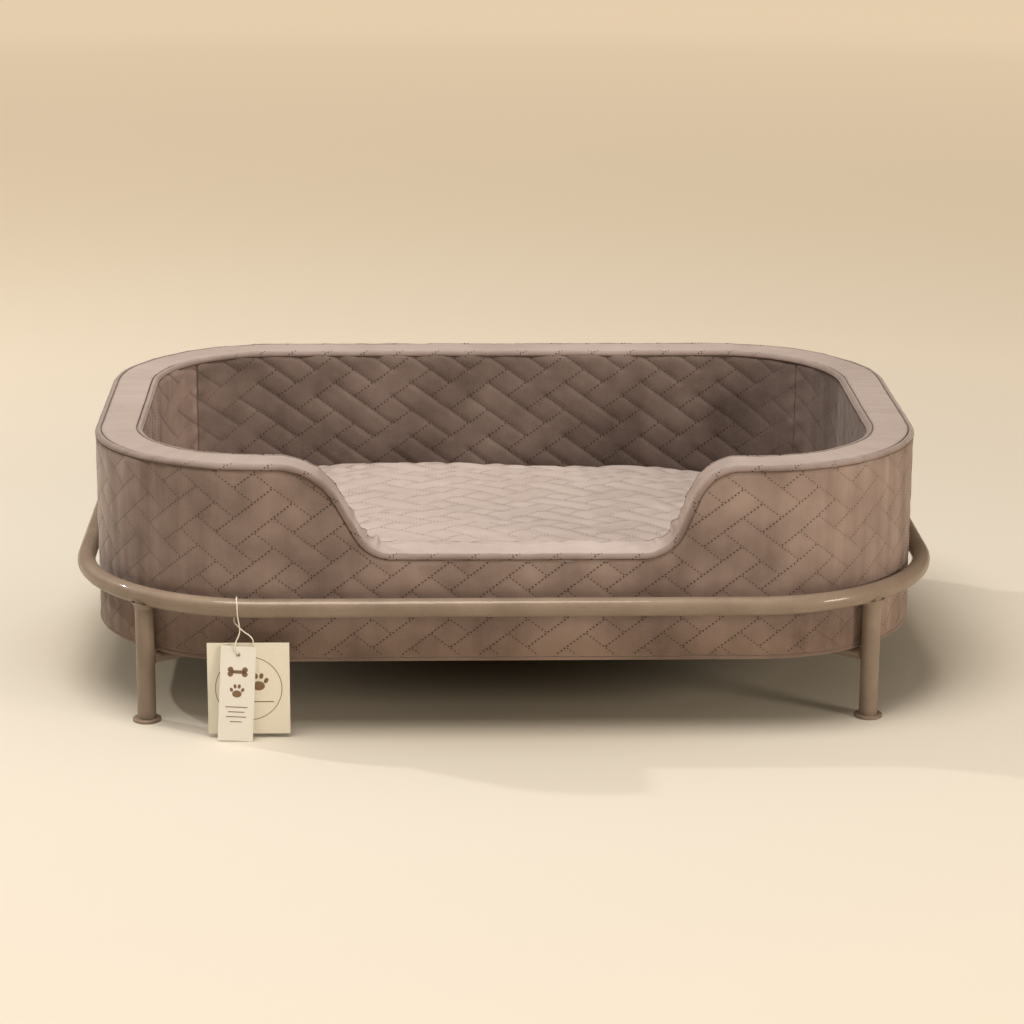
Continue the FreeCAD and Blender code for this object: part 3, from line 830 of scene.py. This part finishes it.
def top_edge(velvet, thread, soft_thread):
    crest = Crest()
    roll_i, roll_d, shown = roll_section(EDGE_BAND)
    back_i, back_d = roll_i[shown:], roll_d[shown:]
    roll_i, roll_d = roll_i[:shown], roll_d[:shown]
    over = np.linspace(EDGE_BAND - 0.0016, WALL - EDGE_BAND + 0.0016, 29)
    end = np.minimum(over - over[0], over[-1] - over)
    sag = 0.0004 + 0.0034 * bell(end, 0.0021)
    under = over[::-4]
    quilt = Quilting(0.0205, 0.0150, 0.004, 0.006)
    sections = (
        ("outer_edge_band", roll_i, roll_d, back_i, back_d, "outer_piping"),
        ("inner_edge_band", WALL - roll_i[::-1], roll_d[::-1], WALL - back_i[::-1], back_d[::-1],
         "inner_piping"),
        ("top_panel", over, sag, under, np.full(len(under), 0.0052), "top_cover"))
    for name, front_i, front_d, hidden_i, hidden_d, stands_for in sections:
        insets, depths = crest.shaped(np.concatenate([front_i, hidden_i]),
                                      np.concatenate([front_d, hidden_d]))
        points = sweep(insets, depths)
        mesh = grid_mesh(name, points, crest.along, *crest.marks(name, insets))
        new_piece(name, mesh, velvet, "basket", "velvet", stands_for)
        if name == "top_panel":
            continue
        long = section_length(front_i, front_d)
        rows = quilt.stitches((crest.along[1], crest.along[-2]), (0.0012, long[-1] - 0.0012))
        place = np.interp(rows[:, 0], crest.along, crest.at)
        size = fading(place, 0.0 if name == "inner_edge_band" else 0.3)
        if name == "inner_edge_band":
            size = size * (np.abs(place - 0.009) > 0.165)
        sew(name + "_stitches", points, rows[size > 0.25],
            lambda at, z: (np.interp(at, crest.along, np.arange(len(crest.along))),
                           np.interp(z, long, np.arange(len(long)))), thread, size[size > 0.25])
    for name, inset, depth, strand in (("outer_side_seam", 0.0007, 0.0056, thread),
                                       ("outer_top_seam", EDGE_BAND + 0.0006, 0.0015, soft_thread),
                                       ("inner_side_seam", WALL - 0.0007, 0.0056, thread),
                                       ("inner_top_seam", WALL - EDGE_BAND - 0.0006, 0.0015, soft_thread)):
        seam_line(name, crest, inset, depth, strand)


def seam_line(name, crest, inset, depth, thread, size=0.00042):
    """The sewn seam beside a band: a fine dark line all along the crest."""
    turns = np.arange(6) * math.pi / 3
    centre = crest.shaped([inset], [depth])
    if inset > WALL / 2:
        centre = centre[0], centre[1] + 0.0048 * smooth((SILL + 0.006 - crest.height) / 0.006)
    insets = centre[0] + size * np.cos(turns)[:, None]
    depths = centre[1] + size * np.sin(turns)[:, None]
    mesh = grid_mesh(name, sweep(insets, depths), crest.along)
    new_piece(name, mesh, thread, "basket", "velvet")


def roll_section(band):
    """Band over the wall's outer top edge, from its seam up and in to its other seam, then its hidden back.
    Returns insets, depths and how many points show."""
    front = [(0.0016, 0.0066), (0.0008, 0.0060), (0.0002, 0.0050), (0.0003, 0.0040), (0.0010, 0.0029),
             (0.0019, 0.0019), (0.0030, 0.0011), (0.0042, 0.0006), (0.0052, 0.0006), (0.0059, 0.0012),
             (0.0062, 0.0024)]
    back = [(0.0058, 0.0042), (0.0044, 0.0056), (0.0032, 0.0066)]
    points = np.array(front + back)
    return points[:, 0] * band / 0.0062, points[:, 1], len(front)


# ---- mattress
def cushion_block(name, inset, low, crown, cells):
    """A closed block of even quads that fills the basket's plan drawn in by inset, with a crowned top."""
    count_x, count_y, count_z = cells
    index, points, faces = {}, [], []

    def vertex(i, j, k):
        if (i, j, k) not in index:
            index[i, j, k] = len(points)
            points.append((i / count_x * 2 - 1, j / count_y * 2 - 1, k / count_z))
        return index[i, j, k]

    for i in range(count_x):
        for j in range(count_y):
            for k, order in ((0, (0, 3, 2, 1)), (count_z, (0, 1, 2, 3))):
                ring = [vertex(i, j, k), vertex(i + 1, j, k), vertex(i + 1, j + 1, k), vertex(i, j + 1, k)]
                faces.append([ring[n] for n in order])
    rim = [(i, 0) for i in range(count_x)] + [(count_x, j) for j in range(count_y)]
    rim += [(count_x - i, count_y) for i in range(count_x)] + [(0, count_y - j) for j in range(count_y)]
    for (a, b), (c, d) in zip(rim, rim[1:] + rim[:1]):
        for k in range(count_z):
            faces.append([vertex(a, b, k), vertex(c, d, k), vertex(c, d, k + 1), vertex(a, b, k + 1)])

    u, v, w = np.array(points).T
    reach = np.maximum(np.abs(u), np.abs(v))
    reach = np.where(reach == 0, 1e-9, reach)
    half_front, half_side = STRAIGHT_X + BEND / 2, STRAIGHT_Y + BEND / 2
    on_front = np.abs(v) >= np.abs(u)
    around = np.where(on_front, np.where(v < 0, u / reach * half_front, AROUND / 2 - u / reach * half_front),
                      np.where(u > 0, half_front + half_side * (1 + v / reach),
                               -half_front - half_side * (1 + v / reach)))
    flat, _ = plan(around, inset)
    flat = flat * reach[:, None]
    top = crown(flat[:, 0], flat[:, 1])
    height = low + (top - low) * w
    return new_mesh(name, np.column_stack([flat, height]).tolist(), faces)


def wall_distance(x, y, inset):
    """Distance inside the basket's plan drawn in by inset; below zero outside it."""
    across = np.abs(x) - STRAIGHT_X
    over = np.abs(y) - STRAIGHT_Y
    away = np.hypot(np.maximum(across, 0), np.maximum(over, 0)) + np.minimum(np.maximum(across, over), 0)
    return CORNER - inset - away


def points_of(mesh):
    flat = np.empty(len(mesh.vertices) * 3)
    mesh.vertices.foreach_get("co", flat)
    return flat.reshape(-1, 3)


def swell(piece, limit, frames=20):
    """Blow the piece up as sewn cloth, and let no point go further than limit."""
    start = points_of(piece.data)
    cloth = piece.modifiers.new("cloth", "CLOTH")
    for key, value in (("quality", 5), ("mass", 0.3), ("tension_stiffness", 15),
                       ("compression_stiffness", 15), ("bending_stiffness", 0.4),
                       ("use_pressure", True), ("uniform_pressure_force", 4)):
        setattr(cloth.settings, key, value)
    cloth.settings.effector_weights.gravity = 0
    cloth.collision_settings.use_collision = False
    cloth.point_cache.frame_start = 1
    cloth.point_cache.frame_end = frames
    for number in range(1, frames + 1):
        bpy.context.scene.frame_set(number)
    move = points_of(piece.evaluated_get(bpy.context.evaluated_depsgraph_get()).data) - start
    length = np.linalg.norm(move, axis=1, keepdims=True)
    move *= np.minimum(1, limit / np.maximum(length, 1e-9))
    piece.modifiers.remove(cloth)
    bpy.context.scene.frame_set(1)
    piece.data.vertices.foreach_set("co", (start + move).reshape(-1))
    piece.data.update()


def applied(piece, *modifiers):
    """The piece's mesh with modifiers applied, given as (type, settings)."""
    for kind, settings in modifiers:
        modifier = piece.modifiers.new(kind.lower(), kind)
        for key, value in settings.items():
            setattr(modifier, key, value)
    mesh = bpy.data.meshes.new_from_object(piece.evaluated_get(bpy.context.evaluated_depsgraph_get()))
    piece.modifiers.clear()
    piece.data = mesh
    return mesh


def mattress(velvet, thread):
    gap = WALL + 0.002

    def crown(x, y):
        front = smooth(-y / 0.15)
        entrance = smooth((0.25 - np.abs(x - 0.01)) / 0.16) * front
        over = 0.025 * (np.abs(y) / (HALF_Y - gap)) ** 2 + 0.018 * smooth((np.abs(x) - 0.14) / 0.24)
        over = over * (1 - 0.55 * front) * (1 - entrance) - 0.004 * entrance
        rim = wall_distance(x, y, gap)
        edge = np.clip(1 - rim / 0.020, 0, 1)
        shoulder = (0.012 - 0.007 * entrance) * (1 - np.sqrt(np.clip(1 - edge ** 2, 0, 1)))
        return MATTRESS_TOP - 0.008 - over - shoulder

    mesh = cushion_block("mattress", gap + 0.003, MATTRESS_LOW, crown, (124, 74, 11))
    piece = new_object("mattress", mesh)
    swell(piece, 0.006)
    mesh = applied(piece, ("SMOOTH", {"iterations": 3, "factor": 0.5}), ("SUBSURF", {"levels": 1}))
    mesh.name = "mattress"
    normals = np.array([v.normal for v in mesh.vertices])
    points, crease_shade_and_dark_band = quilt_mattress(points_of(mesh), normals, gap)
    mesh.vertices.foreach_set("co", points.reshape(-1))
    values = mesh.attributes.new("crease_shade_and_dark_band", "FLOAT", "POINT")
    values.data.foreach_set("value", crease_shade_and_dark_band.astype(np.float32))
    mesh.update()
    mesh.shade_smooth()
    mesh.materials.append(velvet)
    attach(piece, "mattress")
    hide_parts("mattress_cover", "mattress_filling")
    mattress_stitches(piece, thread, gap)


def quilt_mattress(points, normals, gap):
    """Sew the top through, add its edge seam and lower hem, and keep the cushion inside the walls."""
    x, y, z = points.T
    rim = wall_distance(x, y, gap)
    upper = smooth((normals[:, 2] - 0.2) / 0.5)
    pull = Waves(43, 0.16, 0.05)
    across, along = x + 0.004 * pull(x, y), y + 0.003 * pull(y, x)
    relief, mark = TOP_QUILT.relief(across, along, 0.0070, (0.42, 0.34))
    inside = smooth((rim - 0.014) / 0.012)
    lift = 0.0040 * (relief - 0.6) * upper * inside
    lift += Waves(41, 0.45, 0.09, stretch=(2.2, 0.8))(x, y) * 0.0030 * upper
    lift += Waves(42, 0.10, 0.03, stretch=(2.5, 0.8))(x, y) * 0.0013 * upper
    seam = bell(rim - 0.011, 0.0022) * upper
    lift += 0.0012 * bell(rim - 0.006, 0.0035) * upper - 0.0016 * seam
    points = points + normals * lift[:, None]
    # Painted shade along the quilting lines and in the edge seam.
    crease_shade_and_dark_band = np.maximum(mark * upper * inside, 0.4 * seam)
    x, y, z = points.T
    over = np.clip(-wall_distance(x, y, gap - 0.0005), 0, None)
    heading = np.column_stack([np.sign(x) * np.maximum(np.abs(x) - STRAIGHT_X, 0),
                               np.sign(y) * np.maximum(np.abs(y) - STRAIGHT_Y, 0)])
    size = np.maximum(np.linalg.norm(heading, axis=1, keepdims=True), 1e-9)
    inward = wall_distance(x, y, gap)
    hem = smooth((MATTRESS_LOW + 0.020 - z) / 0.016) * smooth((0.030 - inward) / 0.012)
    out = np.clip(inward - 0.0015, 0, 0.010) * hem - over
    points[:, :2] += heading / size * out[:, None]
    points[:, 2] = np.clip(points[:, 2], MATTRESS_LOW, MATTRESS_TOP + 0.002)
    return points, crease_shade_and_dark_band


def mattress_stitches(piece, thread, gap):
    rows = TOP_QUILT.stitches((-HALF_X + gap, HALF_X - gap), (-HALF_Y + gap, HALF_Y - gap))
    rows = rows[wall_distance(rows[:, 0], rows[:, 1], gap) > 0.017]
    size = 0.0006 / np.hypot(rows[:, 2], rows[:, 3])
    middles = drop_on(piece, rows[:, 0], rows[:, 1])
    ahead = drop_on(piece, rows[:, 0] + rows[:, 2] * size, rows[:, 1] + rows[:, 3] * size)
    outwards = np.tile([0.0, 0.0, 1.0], (len(rows), 1))
    mesh = stitch_mesh("mattress_stitches", middles, ahead - middles, outwards, 0.0022, 0.0007)
    new_piece("mattress_stitches", mesh, thread, "mattress", "mattress_velvet")


def drop_on(piece, x, y):
    """Where points of the plan land on a piece from above."""
    tree = BVHTree.FromObject(piece, bpy.context.evaluated_depsgraph_get())
    landed = []
    for a, b in zip(x, y):
        hit = tree.ray_cast(Vector((a, b, 1.0)), Vector((0, 0, -1)))[0]
        landed.append(tuple(hit) if hit else (a, b, MATTRESS_TOP))
    return np.array(landed)


# ---- shop tags and their string
def flat_print(name, outlines, matrix, ink):
    """Printed shapes as a thin skin. An outline is a list of (x, z) points, or a ring of two such lists."""
    work = bmesh.new()
    for outline in outlines:
        if isinstance(outline, tuple):
            outer, inner = outline
            a = [work.verts.new((x, 0, z)) for x, z in outer]
            b = [work.verts.new((x, 0, z)) for x, z in inner]
            for k in range(len(a)):
                work.faces.new([a[k], a[(k + 1) % len(a)], b[(k + 1) % len(a)], b[k]])
        else:
            work.faces.new([work.verts.new((x, 0, z)) for x, z in outline])
    made = bmesh.ops.extrude_face_region(work, geom=work.faces[:])
    moved = [item for item in made["geom"] if isinstance(item, bmesh.types.BMVert)]
    bmesh.ops.translate(work, verts=moved, vec=(0, 0.00005, 0))
    bmesh.ops.recalc_face_normals(work, faces=work.faces)
    mesh = bpy.data.meshes.new(name)
    work.to_mesh(mesh)
    work.free()
    mesh.transform(matrix)
    mesh.materials.append(ink)
    piece = new_object(name, mesh)
    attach(piece, "tags")


def ellipse(x, z, across, up, turn=0.0, count=48):
    spots = []
    for k in range(count):
        a, b = across * math.cos(2 * math.pi * k / count), up * math.sin(2 * math.pi * k / count)
        spots.append((x + a * math.cos(turn) - b * math.sin(turn),
                      z + a * math.sin(turn) + b * math.cos(turn)))
    return spots


def paw(x, z, size):
    """A plain paw print: one pad and four toes."""
    shapes = [ellipse(x, z - 0.28 * size, 0.52 * size, 0.40 * size)]
    toes = (-0.62, 0.18, 0.5), (-0.23, 0.58, 0.15), (0.23, 0.58, -0.15), (0.62, 0.18, -0.5)
    for across, up, turn in toes:
        shapes.append(ellipse(x + across * size, z + up * size, 0.17 * size, 0.25 * size, turn))
    return shapes


def bar(x, z, width, height):
    return [(x - width / 2, z - height / 2), (x + width / 2, z - height / 2),
            (x + width / 2, z + height / 2), (x - width / 2, z + height / 2)]


def bone(x, z, width):
    """A plain bone outline, lying down."""
    r = width * 0.14
    shaft = bar(x, z, width * 0.72, width * 0.17)
    ends = [ellipse(x + sx * width * 0.36, z + sz * r * 0.8, r, r) for sx in (-1, 1) for sz in (-1, 1)]
    return [shaft] + ends


def tags():
    ink = plain_material("card_print", (0.22, 0.13, 0.07), (0.30, 0.19, 0.11), 900.0, 0.7, 0.0001)
    for node, name, dark, light in (
            ("tag_card_large", "cream_card", (0.955, 0.91, 0.775), (0.985, 0.95, 0.83)),
            ("tag_card_small", "white_card", (0.965, 0.95, 0.88), (0.985, 0.97, 0.91))):
        put_on(nodes[node], plain_material(name, dark, light, 260.0, 0.75, 0.0002, 0.10, 0.7))
    low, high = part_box("tag_card_large")
    middle = ((low[0] + high[0]) / 2, low[1] - 0.0001, (low[2] + high[2]) / 2)
    wide, thin = ellipse(0, 0, 0.0335, 0.0335, count=96), ellipse(0, 0, 0.0328, 0.0328, count=96)
    shapes = [(wide, thin)] + paw(0.010, 0.006, 0.012) + [bar(0.010, -0.014, 0.030, 0.0010)]
    flat_print("large_card_print", shapes, Matrix.Translation(middle), ink)

    turn = Matrix.Rotation(math.radians(2.8), 4, "Y")
    tilt = Matrix.Rotation(math.radians(-5.7), 4, "X")
    place = Matrix.Translation((-0.2714, -0.3032, 0.097)) @ tilt @ turn @ Matrix.Translation((0, -0.0004, 0))
    shapes = bone(0.0, -0.026, 0.020) + paw(0.0, -0.046, 0.009)
    for z, width in ((-0.062, 0.022), (-0.067, 0.016), (-0.072, 0.020), (-0.077, 0.012)):
        shapes.append(bar(0.0, z, width, 0.0009))
    flat_print("small_card_print", shapes, place, ink)


STRING = 0.0013
STRING_ROUTE = [
    (-0.2720, -0.3003, 0.0882), (-0.2724, -0.3054, 0.0888), (-0.2746, -0.3056, 0.0942),
    (-0.2749, -0.3038, 0.1006), (-0.2706, -0.3018, 0.1086), (-0.2699, -0.3006, 0.1156),
    (-0.2723, -0.2999, 0.1255), (-0.2725, -0.2993, 0.1386), (-0.2740, -0.2883, 0.1448),
    (-0.2731, -0.2778, 0.1386), (-0.2739, -0.2778, 0.1264), (-0.2775, -0.2898, 0.1190),
    (-0.2720, -0.2956, 0.1152), (-0.2664, -0.2990, 0.1108), (-0.2600, -0.3012, 0.1074),
    (-0.2568, -0.3017, 0.1028), (-0.2572, -0.3017, 0.0966), (-0.2600, -0.3016, 0.0924),
    (-0.2630, -0.3003, 0.0902),
]


def string():
    cotton = plain_material("tag_cotton", (0.80, 0.74, 0.62), (0.94, 0.90, 0.80), 1400.0, 0.8, 0.0004)
    data = bpy.data.curves.new("tag_twine", "CURVE")
    data.dimensions = "3D"
    line = data.splines.new("NURBS")
    line.points.add(len(STRING_ROUTE) - 1)
    for point, place in zip(line.points, STRING_ROUTE):
        point.co = (*place, 1)
    line.order_u = 3
    line.use_endpoint_u = True
    data.resolution_u = 12
    data.bevel_depth = STRING / 2
    data.bevel_resolution = 4
    data.use_fill_caps = True
    data.materials.append(cotton)
    piece = new_object("tag_twine", data)
    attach(piece, "tags")
    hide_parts("tag_string")


# ---- build
make_camera()
make_studio()

# The lighter colours taken by faces that look up, as painted light from above: the cushion's, also used on
# the sill's top, and the walls'.
cushion_lit_colours = (0.455, 0.392, 0.372), (0.545, 0.480, 0.462)
wall_lit_colours = (0.385, 0.322, 0.300), (0.485, 0.415, 0.395)
# Painted light and shade along the walls: the outer wall lighter towards its lit right end and darker at the
# left, the inner walls darker where shade falls at the back and the right end.
outer_painted_light = ((-1.26, 0.95), (-0.85, 0.86), (-0.48, 0.70), (-0.24, 1.0), (0.15, 1.0), (0.48, 1.10),
               (1.0, 0.97), (1.26, 0.95))
inner_painted_shade = ((-0.3, 1.0), (-0.02, 0.85), (0.10, 0.45), (0.40, 0.32), (0.75, 0.34), (0.95, 0.52),
               (1.05, 0.60), (1.7, 0.64))
velvet = velvet_material("taupe_velvet", wall_lit_colours, cushion_lit_colours, outer_painted_light)
inner_velvet = velvet_material("taupe_velvet_inner", wall_lit_colours, cushion_lit_colours, inner_painted_shade, 0.20)
cushion_velvet = velvet_material("cushion_velvet", cushion_lit_colours)
# The two dark seam threads are real stitches whose near-black colour also paints the shade of needle holes
# and seam creases; the cushion thread is its own colour.
thread, soft_thread, cushion_thread = (
    plain_material(name, dark, light, 1500.0, 0.8, 0.0002)
    for name, dark, light in (("seam_thread", (0.026, 0.016, 0.012), (0.055, 0.036, 0.028)),
                              ("soft_seam_thread", (0.065, 0.043, 0.035), (0.110, 0.078, 0.065)),
                              ("cushion_thread", (0.16, 0.12, 0.10), (0.24, 0.19, 0.165))))

outer_panel(velvet, thread)
inner_panels(inner_velvet, thread)
top_edge(velvet, thread, soft_thread)
mattress(cushion_velvet, cushion_thread)
tags()
string()

metal = metal_material()
for name, thing in nodes.items():
    if name.startswith(("ring_", "leg_", "foot_", "brace_", "weld_")):
        put_on(thing, metal)
put_on(nodes["bottom_piping"], velvet)
lining = woven_material("plain_lining", (0.11, 0.088, 0.073), (0.20, 0.165, 0.140))
backing = woven_material("mattress_backing", (0.25, 0.205, 0.18), (0.37, 0.315, 0.285))
board = plain_material("fibre_board", (0.24, 0.16, 0.09), (0.36, 0.25, 0.15), 300.0)
foam = plain_material("grey_foam", (0.30, 0.29, 0.28), (0.42, 0.41, 0.40), 900.0, 0.95, 0.001)
for name, material in (("underside_cloth", lining), ("floor_lining", lining), ("mattress_underside", backing),
                       ("base_board", board), ("wall_foam", foam)):
    put_on(nodes[name], material)
